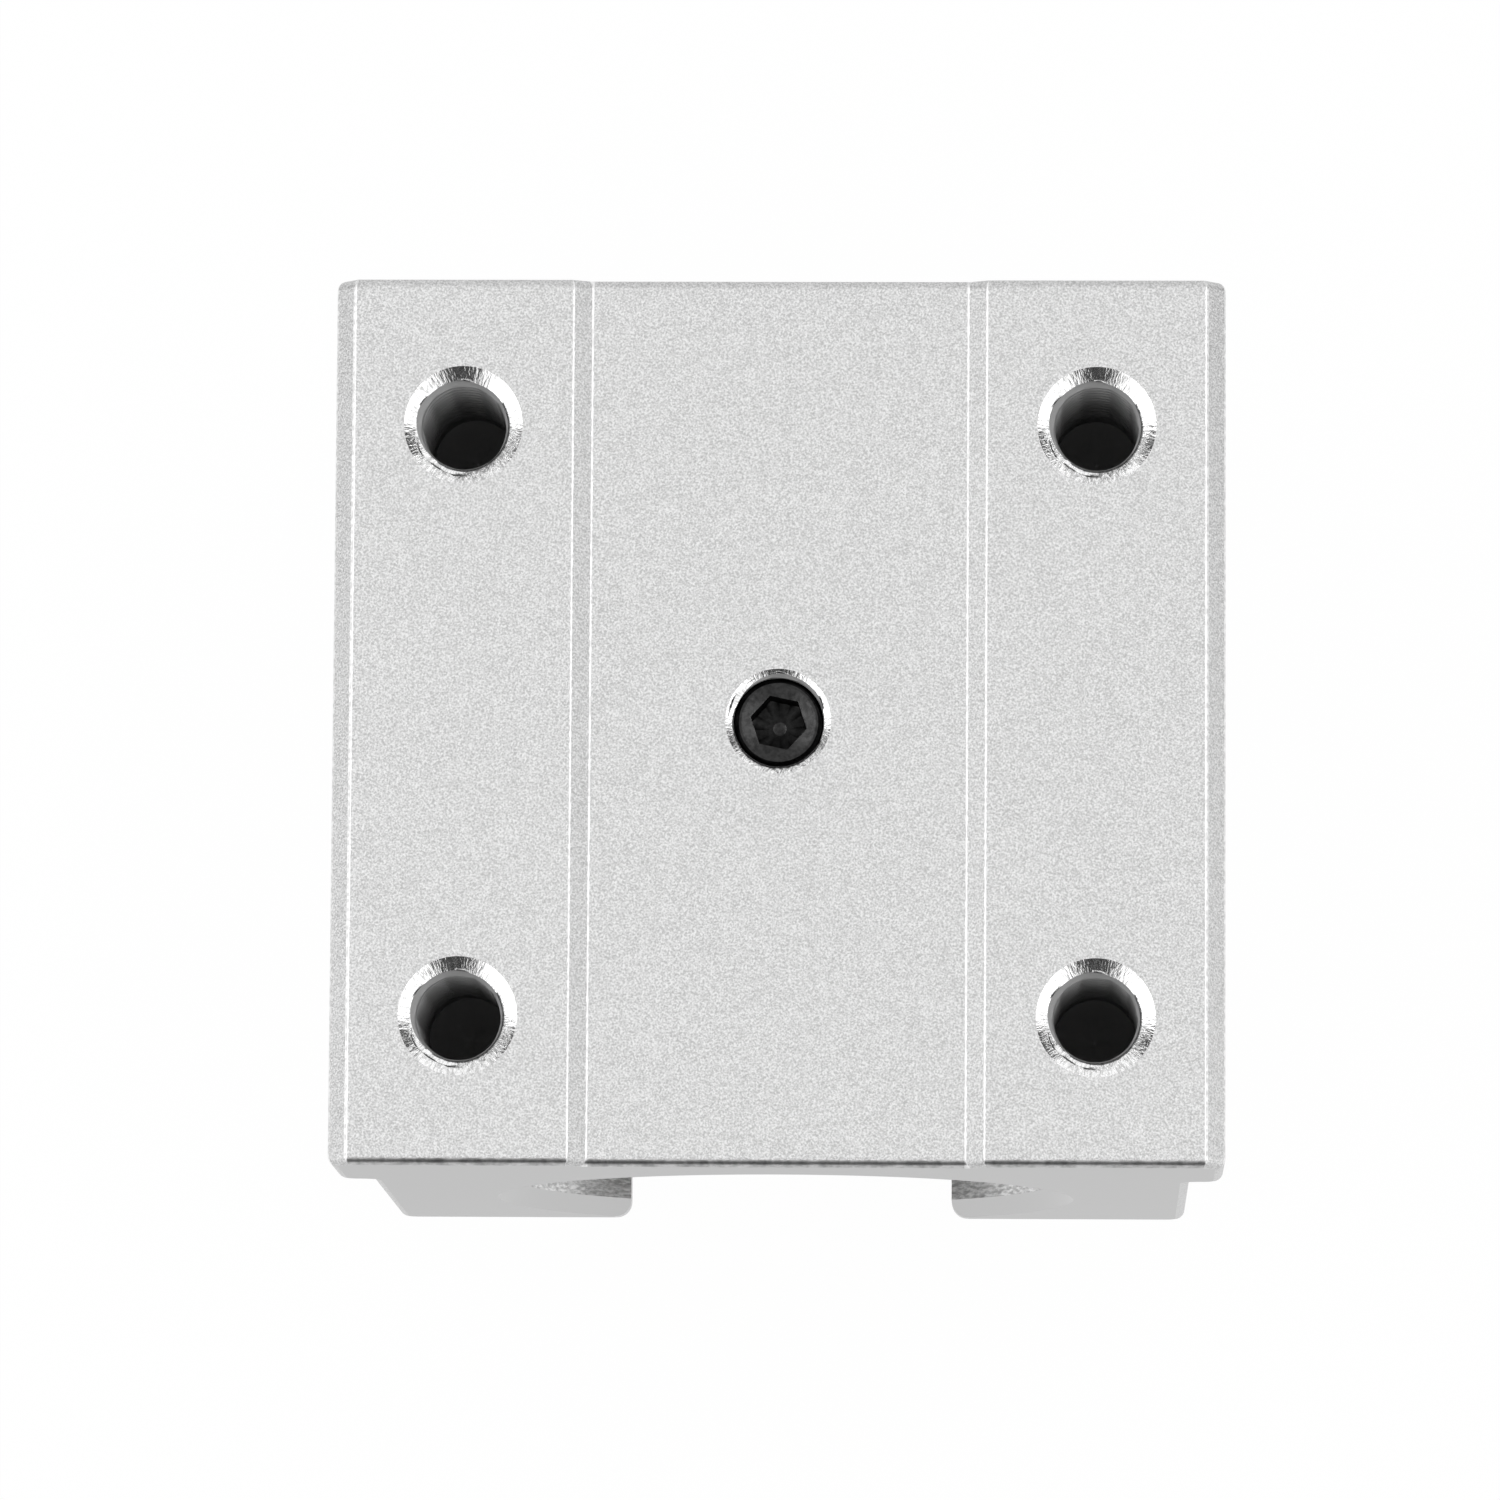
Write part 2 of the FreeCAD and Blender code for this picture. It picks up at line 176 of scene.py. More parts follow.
def makeFloor(settings):
    # white paper that takes the shadow of the block
    material, tree = newMaterial("white studio floor")
    paper = addNode(tree, "ShaderNodeBsdfDiffuse", {"Color": linearColour(settings["floorColour"])})
    white = addNode(tree, "ShaderNodeEmission", {"Color": linearColour("#FFFFFF"), "Strength": 1.0})
    share = addNode(tree, "ShaderNodeMath", {0: backgroundRays(tree), 1: settings["floorShare"]},
                    operation="MULTIPLY")
    mixed = addNode(tree, "ShaderNodeMixShader", {0: share.outputs[0], 1: paper.outputs[0], 2: white.outputs[0]})
    # seen from underneath the floor is clear, so that the feet and the slot show
    under = addNode(tree, "ShaderNodeNewGeometry").outputs["Backfacing"]
    clear = addNode(tree, "ShaderNodeBsdfTransparent")
    sided = addNode(tree, "ShaderNodeMixShader", {0: under, 1: mixed.outputs[0], 2: clear.outputs[0]})
    addNode(tree, "ShaderNodeOutputMaterial", {"Surface": sided.outputs[0]})
    half = settings["floorHalf"]
    drop = -settings["floorGap"] * mm
    corners = [(-half, -half, drop), (half, -half, drop), (half, half, drop), (-half, half, drop)]
    floor = meshObject("studio_floor", corners, [(0, 1, 2, 3)], [material])


def makeSoftbox(aim, azimuth, reach, height, width, depth, strength):
    light = bpy.data.lights.new("softbox", "AREA")
    light.shape = "RECTANGLE"
    light.size = width
    light.size_y = depth
    light.energy = strength * width * depth * math.pi
    box = bpy.data.objects.new("softbox", light)
    angle = math.radians(azimuth)
    box.location = Vector((reach * math.sin(angle), reach * math.cos(angle), height))
    box.rotation_euler = (Vector((0, 0, aim)) - box.location).to_track_quat("-Z", "Y").to_euler()
    box.visible_camera = False
    bpy.context.scene.collection.objects.link(box)


def makeCard(reach, name, azimuth, halfWidth, bottom, top, colour):
    # upright card that gives the metal a dark reflection
    material, tree = newMaterial("studio card " + colour)
    card = addNode(tree, "ShaderNodeBsdfDiffuse", {"Color": linearColour(colour)})
    addNode(tree, "ShaderNodeOutputMaterial", {"Surface": card.outputs[0]})
    edges = [math.radians(azimuth + turn) for turn in (-halfWidth, halfWidth)]
    feet = [(reach * math.sin(angle), reach * math.cos(angle)) for angle in edges]
    flag = meshObject(name, [(*feet[0], bottom), (*feet[1], bottom), (*feet[1], top), (*feet[0], top)],
                      [(0, 1, 2, 3)], [material])
    flag.visible_camera = False


def makeStudio(settings):
    makeWorld(settings)
    makeFloor(settings)
    for softbox in settings["softboxes"]:
        makeSoftbox(settings["softboxAim"], *softbox)
    for card in settings["cards"]:
        makeCard(settings["cardReach"], *card)


makeStudio(studio)
print("studio built")


def dress(piece, node):
    # the piece takes the place of a CAD node
    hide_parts(node)
    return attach(piece, "root")


def principled(tree, **inputs):
    # the surface shader of a material, joined to its output
    named = {name.replace("_", " "): value for name, value in inputs.items()}
    shader = addNode(tree, "ShaderNodeBsdfPrincipled", named)
    addNode(tree, "ShaderNodeOutputMaterial", {"Surface": shader.outputs[0]})
    return shader


def noiseOf(tree, size, detail=1.0, vector=None):
    # noise with blobs of about this size in millimetres
    vector = vector or addNode(tree, "ShaderNodeTexCoord").outputs["Object"]
    return addNode(tree, "ShaderNodeTexNoise", {"Vector": vector, "Scale": 1 / (size * mm), "Detail": detail,
                                                "Roughness": 0.6}).outputs["Fac"]


def bumpOf(tree, height, depth, strength=1.0):
    # a bump of this depth in millimetres
    return addNode(tree, "ShaderNodeBump", {"Height": height, "Strength": strength,
                                            "Distance": depth * mm}).outputs[0]


def shadesOf(tree, factor, low, high, dark, light):
    # a colour between dark and light while factor goes from low to high
    share = addNode(tree, "ShaderNodeMapRange", {"Value": factor, "From Min": low, "From Max": high})
    mixed = addNode(tree, "ShaderNodeMix", {"Factor": share.outputs[0]}, data_type="RGBA")
    mixed.inputs[6].default_value = linearColour(dark)
    mixed.inputs[7].default_value = linearColour(light)
    return mixed.outputs[2]


def holePolar(tree, s):
    # angle, radius and a number of its own for the nearest of the five holes in the top
    place = addNode(tree, "ShaderNodeTexCoord").outputs["Object"]
    split = addNode(tree, "ShaderNodeSeparateXYZ", {0: place})

    def calculate(operation, first, second=0.0):
        return addNode(tree, "ShaderNodeMath", {0: first, 1: second}, operation=operation).outputs[0]

    x, y = split.outputs[0], split.outputs[1]
    outer = calculate("GREATER_THAN", calculate("ABSOLUTE", x), s["holeX"] * mm / 2)
    sideX, sideY = calculate("SIGN", x), calculate("SIGN", y)
    awayX = calculate("SUBTRACT", x, calculate("MULTIPLY", calculate("MULTIPLY", sideX, outer), s["holeX"] * mm))
    awayY = calculate("SUBTRACT", y, calculate("MULTIPLY", calculate("MULTIPLY", sideY, outer), s["holeY"] * mm))
    angle = calculate("ARCTAN2", awayY, awayX)
    radius = calculate("SQRT", calculate("ADD", calculate("MULTIPLY", awayX, awayX),
                                         calculate("MULTIPLY", awayY, awayY)))
    own = calculate("MULTIPLY", calculate("ADD", sideX, calculate("MULTIPLY", sideY, 3.0)), outer)
    return angle, radius, own


def blastedAluminium():
    # Bead-blasted, then clear anodised: satin grey, and every bead's pit shows as a light or a dark grain.
    material, tree = newMaterial("aluminium bead-blasted clear anodised")
    place = addNode(tree, "ShaderNodeTexCoord").outputs["Object"]
    tilted = addNode(tree, "ShaderNodeMapping", {"Vector": place, "Rotation": (0.5, 0.4, 0.3)}).outputs[0]
    pits = noiseOf(tree, 0.10, 1.5, tilted)
    patches = noiseOf(tree, 0.6, 0.0, tilted)
    grain = addNode(tree, "ShaderNodeMix", {0: 0.06, 2: pits, 3: patches}, data_type="FLOAT").outputs[0]
    principled(tree, Base_Color=shadesOf(tree, grain, 0.34, 0.66, "#AEAEAE", "#DDDDDD"), Metallic=1.0,
               Roughness=0.40, Normal=bumpOf(tree, pits, 0.02))
    return material


def burnishedHighlightAluminium():
    # Long edges of the extrusion, smoothed where the blasting grit rolled over them; their lighter colour is a painted
    # highlight.
    material, tree = newMaterial("aluminium burnished edge")
    rubAndGlint = noiseOf(tree, 0.3, 1.0)
    principled(tree, Base_Color=shadesOf(tree, rubAndGlint, 0.4, 0.6, "#D0D0D0", "#EEEEEE"), Metallic=1.0,
               Roughness=0.3, Normal=bumpOf(tree, rubAndGlint, 0.01, 0.5))
    return material


def frontEdgeShadeAluminium():
    # Rounded top edge at the front end, dull and dark beside the blasted top: the dark colour is painted shade for the
    # dark line along that edge.
    material, tree = newMaterial("aluminium front edge, painted shade")
    frontShadeGrain = noiseOf(tree, 0.5, 3.0)
    principled(tree, Base_Color=shadesOf(tree, frontShadeGrain, 0.35, 0.65, "#929292", "#C6C6C6"), Metallic=1.0,
               Roughness=0.34, Normal=bumpOf(tree, frontShadeGrain, 0.03, 0.8))
    return material


def milledAluminium(name, tone):
    # Milled metal: smoother than the blasted skin, with faint lines where the cutter passed.
    material, tree = newMaterial(name)
    spacing = 0.2961                      # mm from line to line; a wave of scale 1 has a line every pi / 10 m
    place = addNode(tree, "ShaderNodeTexCoord").outputs["Object"]
    lines = addNode(tree, "ShaderNodeTexWave", {"Vector": place, "Scale": math.pi / 10 / (spacing * mm),
                                                "Distortion": 1.5, "Detail": 2.0}, bands_direction="Z")
    principled(tree, Base_Color=linearColour(tone), Metallic=1.0, Roughness=0.36,
               Normal=bumpOf(tree, lines.outputs["Fac"], 0.002, 0.25))
    return material


def brightCutAluminium(s):
    # Cut by the countersink after anodising: bright bare metal, with chatter that runs down the slope as hairlines.
    material, tree = newMaterial("aluminium bright cut countersink")
    # round the cone at its middle radius, stretched down the slope, and set apart for each hole
    angle, radius, own = holePolar(tree, s)
    across = addNode(tree, "ShaderNodeMath", {0: angle, 1: 2.6 * mm}, operation="MULTIPLY").outputs[0]
    down = addNode(tree, "ShaderNodeMath", {0: radius, 1: 0.3}, operation="MULTIPLY").outputs[0]
    apart = addNode(tree, "ShaderNodeMath", {0: own, 1: 4 * mm}, operation="MULTIPLY").outputs[0]
    streaks = addNode(tree, "ShaderNodeCombineXYZ", {0: across, 1: down, 2: apart}).outputs[0]
    hairs = noiseOf(tree, 0.12, 2.0, streaks)
    principled(tree, Base_Color=shadesOf(tree, hairs, 0.36, 0.56, "#CFCFCF", "#FFFFFF"), Metallic=1.0,
               Roughness=0.16, Normal=bumpOf(tree, hairs, 0.03))
    return material


def tappedShadeAluminium():
    # Tapped thread, much darker than the skin: painted shade for the shade deep in the holes.
    material, tree = newMaterial("aluminium tapped thread in painted shade")
    principled(tree, Base_Color=linearColour("#9A9A9A"), Metallic=0.35, Roughness=0.5,
               Normal=bumpOf(tree, noiseOf(tree, 0.2, 2.0), 0.01, 0.3))
    return material


def boredAluminium():
    # Bored wall: the feed of the tool leaves close rings round the bore, torn here and there.
    material, tree = newMaterial("aluminium bored")
    place = addNode(tree, "ShaderNodeTexCoord").outputs["Object"]
    along = addNode(tree, "ShaderNodeMapping", {"Vector": place, "Scale": (0.35, 1.0, 0.35)}).outputs[0]
    rings = noiseOf(tree, 0.15, 2.0, along)
    principled(tree, Base_Color=shadesOf(tree, rings, 0.35, 0.65, "#A8A8A8", "#E6E6E6"), Metallic=1.0,
               Roughness=0.3, Normal=bumpOf(tree, rings, 0.008))
    return material


# the aluminium block, in mm; the slots are the surfaces that its materials are for
housing = {
    "slotWidth": 17.0, "channelWidth": 19.0, "channelDepth": 0.5, "channelSlope": 0.95, "topChamfer": 0.95,
    "flangeThickness": 9.0, "flangeOverhang": 1.65, "flangeCorner": 1.0, "flangeRoot": 0.5,
    "footCorner": 1.0, "footInner": 0.3,
    "edgeBreak": 0.25, "endBreak": 0.5, "endSteps": 5,        # radius on the long edges and on the end edges
    "topBand": 1.3,                                           # how far down the edges count as the top's
    "shadedFrontStrips": 4,                                          # strips of the front edge that take the painted shade
    "boreRadius": 14.03, "mouthChamfer": 0.9,
    "grooveStart": 18.5, "grooveEnd": 19.8, "grooveRadius": 14.73,
    "holeX": 16.0, "holeY": 15.0, "holeDepth": 12.0, "threadDepth": 10.0,
    "drillPoint": 0.6, "pointRadius": 0.05,                   # drill's point: depth to radius, and its flat
    "countersink": 3.0, "threadMouth": 2.25,                  # radii
    "coneSpread": 1.14, "mouthTaper": 0.35,                   # radius gained per mm of height
    "screwCountersink": 2.66, "screwCrest": 2.27, "screwHoleStart": 8.0,
    "over": 1.0, "threadOver": 0.3, "holeOver": 0.5,          # how far cutters run past a face
    "arcSteps": 10, "edgeStep": 0.5, "shortStep": 0.1, "boreSegments": 180, "holeSegments": 64,
}
slots = {"blasted": 0, "endFace": 1, "brightCut": 2, "bored": 3, "tapped": 4, "mouth": 5, "burnished_highlight": 6,
         "frontEdgeShade": 7}
# M5 coarse, in mm; crest and root set how wide its flats are, and rows is how finely a pitch is drawn
thread = {"pitch": 0.8, "minorRadius": 2.1, "height": 0.42, "crest": 0.25, "root": 0.12, "rows": 10}


def insetOutline(corners, inset, steps, edgeStep):
    # closed outline of (x, z, radius) corners, clockwise from the front, with every edge moved in by inset
    leastRadius = 0.004                   # mm, left where the inset would use a rounding up
    count = len(corners)
    points = [Vector((x, z)) for x, z, radius in corners]
    directions = [(points[(i + 1) % count] - points[i]).normalized() for i in range(count)]
    inward = [Vector((d.y, -d.x)) for d in directions]
    moved = []
    for i in range(count):
        before, after = directions[i - 1], directions[i]
        turn = before.x * after.y - before.y * after.x
        start = points[i - 1] + inward[i - 1] * inset
        toCorner = points[i] + inward[i] * inset - start
        along = (toCorner.x * after.y - toCorner.y * after.x) / turn
        moved.append(start + before * along)
    line = []
    for i in range(count):
        radius = corners[i][2]
        if radius == 0:
            arc = [moved[i]]
        else:
            before, after = directions[i - 1], directions[i]
            convex = before.x * after.y - before.y * after.x < 0
            radius = max(radius - inset, leastRadius) if convex else radius + inset
            half = before.angle(after) / 2
            reach = radius * math.tan(half)
            centre = moved[i] - before * reach + (inward[i - 1] if convex else -inward[i - 1]) * radius
            first = (moved[i] - before * reach) - centre
            sweep = -2 * half if convex else 2 * half
            arc = []
            for step in range(steps + 1):
                a = sweep * step / steps
                arc.append(centre + Vector((first.x * math.cos(a) - first.y * math.sin(a),
                                            first.x * math.sin(a) + first.y * math.cos(a))))
        line.append(arc)
    outline = []
    for i in range(count):
        outline.extend(line[i])
        run = points[(i + 1) % count] - points[i]
        pieces = max(1, round(run.length / edgeStep))
        start, end = line[i][-1], line[(i + 1) % count][0]
        outline.extend(start.lerp(end, k / pieces) for k in range(1, pieces))
    return outline


def housingCorners(s):
    # corners of the extruded section, each with its radius
    half = cadHigh.x / mm
    top = blockTop / mm
    leg = half - s["flangeOverhang"]
    under = top - s["flangeThickness"]
    right = [
        (s["channelWidth"] / 2, top - s["channelDepth"], s["edgeBreak"]),
        (s["channelWidth"] / 2 + s["channelSlope"], top, s["edgeBreak"]),
        (half - s["topChamfer"], top, s["edgeBreak"]),
        (half, top - s["topChamfer"], s["edgeBreak"]),
        (half, under, s["flangeCorner"]),
        (leg, under, s["flangeRoot"]),
        (leg, 0, s["footCorner"]),
        (s["slotWidth"] / 2, 0, s["footInner"]),
        (s["slotWidth"] / 2, shaftHeight / mm, 0),
    ]
    return right + [(-x, z, radius) for x, z, radius in reversed(right)]


def loftedBlock(s, materials):
    # the extruded section, with its end edges rounded by drawing the outline in towards both end faces
    corners = housingCorners(s)
    base = insetOutline(corners, 0, s["arcSteps"], s["edgeStep"])
    count = len(base)
    radius = s["endBreak"]
    end = blockEnd / mm
    tiny = 0.01                           # mm or radians that still count as level or straight
    rings = []
    for k in range(s["endSteps"] + 1):
        angle = math.radians(90 * k / s["endSteps"])     # 0 at the end face, 90 where the full section starts
        inset = radius * (1 - math.sin(angle))
        y = -end + radius * (1 - math.cos(angle))
        drawnIn = insetOutline(corners, inset, s["arcSteps"], s["edgeStep"])
        rings.append([(p.x, y, p.y) for p in drawnIn])
    rings += [[(x, -y, z) for x, y, z in ring] for ring in reversed(rings)]
    points = [(x * mm, y * mm, z * mm) for ring in rings for x, y, z in ring]
    faces = [tuple(range(count)), tuple(reversed(range((len(rings) - 1) * count, len(rings) * count)))]
    faceSlots = [slots["endFace"]] * 2
    for ring in range(len(rings) - 1):
        for k in range(count):
            a, b = ring * count + k, ring * count + (k + 1) % count
            faces.append((a, a + count, b + count, b))
            # short steps that turn belong to a rounded long edge
            ahead, back = base[(k + 1) % count] - base[k], base[k] - base[k - 1]
            bends = ahead.length < s["shortStep"] and abs(ahead.angle(back)) > tiny
            onTop = base[k].y > blockTop / mm - s["topBand"]
            # the first strips of the front end's flat top edges take the painted shade
            shadedFront = onTop and abs(ahead.y) < tiny and ring < s["shadedFrontStrips"]
            # rounded long edges on top take a painted highlight
            faceSlots.append(slots["burnished_highlight" if bends and onTop else "frontEdgeShade" if shadedFront else "blasted"])
    return meshObject("housing", points, faces, materials, faceSlots)


def turnedCutter(name, profile, segments, materials, ringSlots):
    # closed solid turned about the shaft from (radius, y) points; the first and last lie on its axis
    points = []
    faces = []
    faceSlots = []
    inner = profile[1:-1]
    for radius, along in inner:
        for k in range(segments):
            angle = 2 * math.pi * k / segments
            points.append((radius * math.sin(angle) * mm, along * mm, shaftHeight + radius * math.cos(angle) * mm))
    for ring in range(len(inner) - 1):
        for k in range(segments):
            a, b = ring * segments + k, ring * segments + (k + 1) % segments
            faces.append((a, a + segments, b + segments, b))
            faceSlots.append(ringSlots[ring])
    faces.append(tuple(range(segments)))
    faces.append(tuple(reversed(range((len(inner) - 1) * segments, len(inner) * segments))))
    faceSlots += [ringSlots[0], ringSlots[-1]]
    return meshObject(name, points, faces, materials, faceSlots)


def uprightSolid(name, centre, heights, radiusAt, segments, materials, slotAt):
    # closed solid round a vertical line; radiusAt(angle, z) may hold a thread
    points = []
    faces = []
    faceSlots = []
    for z in heights:
        for k in range(segments):
            angle = 2 * math.pi * k / segments
            radius = radiusAt(angle, z)
            points.append(((centre[0] + radius * math.cos(angle)) * mm, (centre[1] + radius * math.sin(angle)) * mm,
                           z * mm))
    for ring in range(len(heights) - 1):
        for k in range(segments):
            a, b = ring * segments + k, ring * segments + (k + 1) % segments
            faces.append((a, b, b + segments, a + segments))
            faceSlots.append(slotAt((heights[ring] + heights[ring + 1]) / 2))
    faces.append(tuple(reversed(range(segments))))
    faces.append(tuple(range((len(heights) - 1) * segments, len(heights) * segments)))
    faceSlots += [slotAt(heights[0]), slotAt(heights[-1])]
    return meshObject(name, points, faces, materials, faceSlots)


def threadRadius(angle, z, clearance=0.0):
    # coarse thread with straight flanks between a flat crest and a flat root; the screw's own has clearance
    phase = (z / thread["pitch"] - angle / (2 * math.pi)) % 1.0
    rise = abs(phase - 0.5) * 2           # 0 at the crest, 1 at the root
    flank = min(1.0, max(0.0, (rise - thread["crest"]) / (1 - 2 * thread["crest"] + thread["root"])))
    return thread["minorRadius"] + thread["height"] * flank - clearance


def mountCutter(s, x, y, materials):
    # tapped mounting hole with its countersink and the cone that the drill left at the bottom
    top = blockTop / mm
    bottom = top - s["holeDepth"]
    threadEnd = top - s["threadDepth"]
    row = thread["pitch"] / thread["rows"]
    coneEnd = top - (s["countersink"] - s["threadMouth"]) / s["coneSpread"]
    heights = [bottom - thread["minorRadius"] * s["drillPoint"], bottom]
    z = threadEnd - thread["pitch"]
    while z < top + s["threadOver"]:
        heights.append(z)
        z += row
    heights.append(top + s["holeOver"])

    def radiusAt(angle, z):
        cone = max(s["countersink"] + (z - top) * s["coneSpread"],
                   min(s["threadMouth"], s["threadMouth"] + (z - coneEnd) * s["mouthTaper"]))
        if z < bottom:
            return s["pointRadius"]
        plain = thread["minorRadius"]
        runOut = min(1.0, max(0.0, (z - threadEnd) / thread["pitch"] + 1))
        wall = plain + (threadRadius(angle, z) - plain) * runOut if z > bottom else plain
        return max(wall, cone)

    # below the countersink the wall takes the tapped material, which is painted shade
    return uprightSolid("cutter", (x, y), heights, radiusAt, s["holeSegments"], materials,
                        lambda z: slots["brightCut" if z > coneEnd - row else "tapped"])


def screwHoleCutter(s, materials):
    # tapped hole from the bushing's bore to the channel floor, with its countersink
    floor = blockTop / mm - s["channelDepth"]
    bottom = shaftHeight / mm + s["screwHoleStart"]
    row = thread["pitch"] / thread["rows"]
    coneEnd = floor - (s["screwCountersink"] - s["screwCrest"]) / s["coneSpread"]
    heights = [bottom + row * k for k in range(int((floor + s["threadOver"] - bottom) / row))]
    heights.append(floor + s["holeOver"])

    def radiusAt(angle, z):
        cone = s["screwCountersink"] + (z - floor) * s["coneSpread"]
        return max(threadRadius(angle, z), s["screwCrest"], cone)

    # below the countersink the wall takes the tapped material, which is painted shade
    return uprightSolid("cutter", (0, 0), heights, radiusAt, s["holeSegments"], materials,
                        lambda z: slots["brightCut" if z > coneEnd else "tapped"])


def boreCutter(s, materials):
    # the bushing's bore with its chamfered mouths and both circlip grooves
    end = blockEnd / mm
    half = [(0, -end - s["over"]), (s["boreRadius"] + s["mouthChamfer"] + s["over"], -end - s["over"]),
            (s["boreRadius"], -end + s["mouthChamfer"]), (s["boreRadius"], -s["grooveEnd"]),
            (s["grooveRadius"], -s["grooveEnd"]), (s["grooveRadius"], -s["grooveStart"]),
            (s["boreRadius"], -s["grooveStart"])]
    profile = half + [(radius, -y) for radius, y in reversed(half)]
    ringSlots = [slots["mouth"]] + [slots["bored"]] * (len(profile) - 5) + [slots["mouth"]]
    return turnedCutter("cutter", profile, s["boreSegments"], materials, ringSlots)


def slotCutter(s, side, end, materials):
    # rounds one end of one wall of the slot between the feet
    wall = s["slotWidth"] / 2
    radius = s["mouthChamfer"]
    y = blockEnd / mm
    centre = (wall + radius, y - radius)
    line = []
    for k in range(s["arcSteps"] + 1):
        angle = math.radians(90 * k / s["arcSteps"])
        line.append((centre[0] - radius * math.sin(angle), centre[1] + radius * math.cos(angle)))
    line += [(wall - s["over"], centre[1]), (wall - s["over"], y + s["over"]), (centre[0], y + s["over"])]
    count = len(line)
    points = [(side * px * mm, end * py * mm, z * mm) for z in (-s["over"], shaftHeight / mm) for px, py in line]
    faces = [tuple(range(count)), tuple(reversed(range(count, 2 * count)))]
    faces += [(k, k + count, (k + 1) % count + count, (k + 1) % count) for k in range(count)]
    if side * end < 0:
        faces = [tuple(reversed(face)) for face in faces]
    return meshObject("cutter", points, faces, materials, [slots["blasted"]] * len(faces))


def cutAway(item, cutters):
    # takes the cutters out of the item; each cut face keeps its cutter's material
    for cutter in cutters:
        fixNormals(cutter)
        cut = item.modifiers.new("cut", "BOOLEAN")
        cut.operation = "DIFFERENCE"
        cut.solver = "EXACT"
        cut.object = cutter
    finished = bpy.data.meshes.new_from_object(item.evaluated_get(bpy.context.evaluated_depsgraph_get()))
    item.modifiers.clear()
    item.data = finished
    for cutter in cutters:
        bpy.data.objects.remove(cutter)


def fixNormals(item):
    work = bmesh.new()
    work.from_mesh(item.data)
    bmesh.ops.recalc_face_normals(work, faces=work.faces)
    work.to_mesh(item.data)
    work.free()


def smoothAbove(item, degrees):
    # smooth shading, with edges sharper than this angle kept crisp
    item.data.polygons.foreach_set("use_smooth", [True] * len(item.data.polygons))
    item.data.set_sharp_from_angle(angle=math.radians(degrees))
    weighted = item.modifiers.new("flat faces stay flat", "WEIGHTED_NORMAL")
    weighted.keep_sharp = True
    weighted.weight = 100


def makeHousing(s):
    # the materials are in the order of slots
    materials = [blastedAluminium(), milledAluminium("aluminium milled end face", "#B2B2B2"),
                 brightCutAluminium(s), boredAluminium(), tappedShadeAluminium(),
                 milledAluminium("aluminium turned chamfer", "#C1C1C1"), burnishedHighlightAluminium(),
                 frontEdgeShadeAluminium()]
    block = loftedBlock(s, materials)
    fixNormals(block)
    cutters = [boreCutter(s, materials)]
    cutters += [slotCutter(s, side, end, materials) for side in (1, -1) for end in (1, -1)]
    cutters += [mountCutter(s, x, y, materials) for x in (-s["holeX"], s["holeX"]) for y in (-s["holeY"], s["holeY"])]
    cutters.append(screwHoleCutter(s, materials))
    cutAway(block, cutters)
    smoothAbove(block, 30)
    return dress(block, "housing_block")


makeHousing(housing)
print("housing built")


def bearingSteel():
    # Hardened bearing steel, ground round: bright, with rings round the shaft, drawn coarser than real to show.
    material, tree = newMaterial("bearing steel hardened and ground")
    place = addNode(tree, "ShaderNodeTexCoord").outputs["Object"]
    along = addNode(tree, "ShaderNodeMapping", {"Vector": place, "Scale": (0.02, 1.0, 0.02)}).outputs[0]
    rings = noiseOf(tree, 0.08, 2.0, along)
    principled(tree, Base_Color=shadesOf(tree, rings, 0.35, 0.65, "#A9A8A6", "#C9C8C6"), Metallic=1.0,
               Roughness=0.24, Normal=bumpOf(tree, rings, 0.002, 0.5))
    return material


def polishedSteel():
    # Lapped bearing balls: mirror bright, with a haze of oil that blurs it a little.
    material, tree = newMaterial("chrome steel lapped, oiled")
    principled(tree, Base_Color=shadesOf(tree, noiseOf(tree, 1.5, 1.0), 0.4, 0.6, "#D2D2D3", "#DCDCDC"),
               Metallic=1.0, Roughness=0.07)
    return material


def blackenedSteel(name, dark, light, roughness):
    # Chemically blackened screw: near black, and only edges and slopes that face the light turn grey.
    material, tree = newMaterial(name)
    stain = noiseOf(tree, 0.25, 2.0)
    principled(tree, Base_Color=shadesOf(tree, stain, 0.35, 0.65, dark, light), Metallic=1.0,
               Roughness=roughness, Normal=bumpOf(tree, stain, 0.006, 0.6))
    return material


def phosphatedSteel():
    # Stamped spring steel, phosphated: dull dark grey with a crystal grain, drawn coarser than real to show.
    material, tree = newMaterial("spring steel stamped and phosphated")
    crystals = noiseOf(tree, 0.12, 2.0)
    principled(tree, Base_Color=shadesOf(tree, crystals, 0.35, 0.65, "#3C3B39", "#5A5957"), Metallic=0.8,
               Roughness=0.46, Normal=bumpOf(tree, crystals, 0.008))
    return material


def mouldedAcetal():
    # Injection-moulded acetal: waxy off-white, slightly see-through at thin ribs.
    material, tree = newMaterial("acetal injection-moulded")
    cloud = noiseOf(tree, 2.5, 2.0)
    principled(tree, Base_Color=shadesOf(tree, cloud, 0.35, 0.65, "#DFDCD2", "#E6E4DC"), Roughness=0.38,
               Subsurface_Weight=0.12, Subsurface_Scale=0.6 * mm, Normal=bumpOf(tree, cloud, 0.01, 0.1))
    return material


def nitrileRubber():
    # Moulded nitrile rubber: soft black with a dusty bloom.
    material, tree = newMaterial("nitrile rubber moulded")
    bloom = noiseOf(tree, 0.4, 3.0)
    principled(tree, Base_Color=shadesOf(tree, bloom, 0.4, 0.7, "#141414", "#232322"), Roughness=0.58,
               Normal=bumpOf(tree, bloom, 0.006, 0.5))
    return material


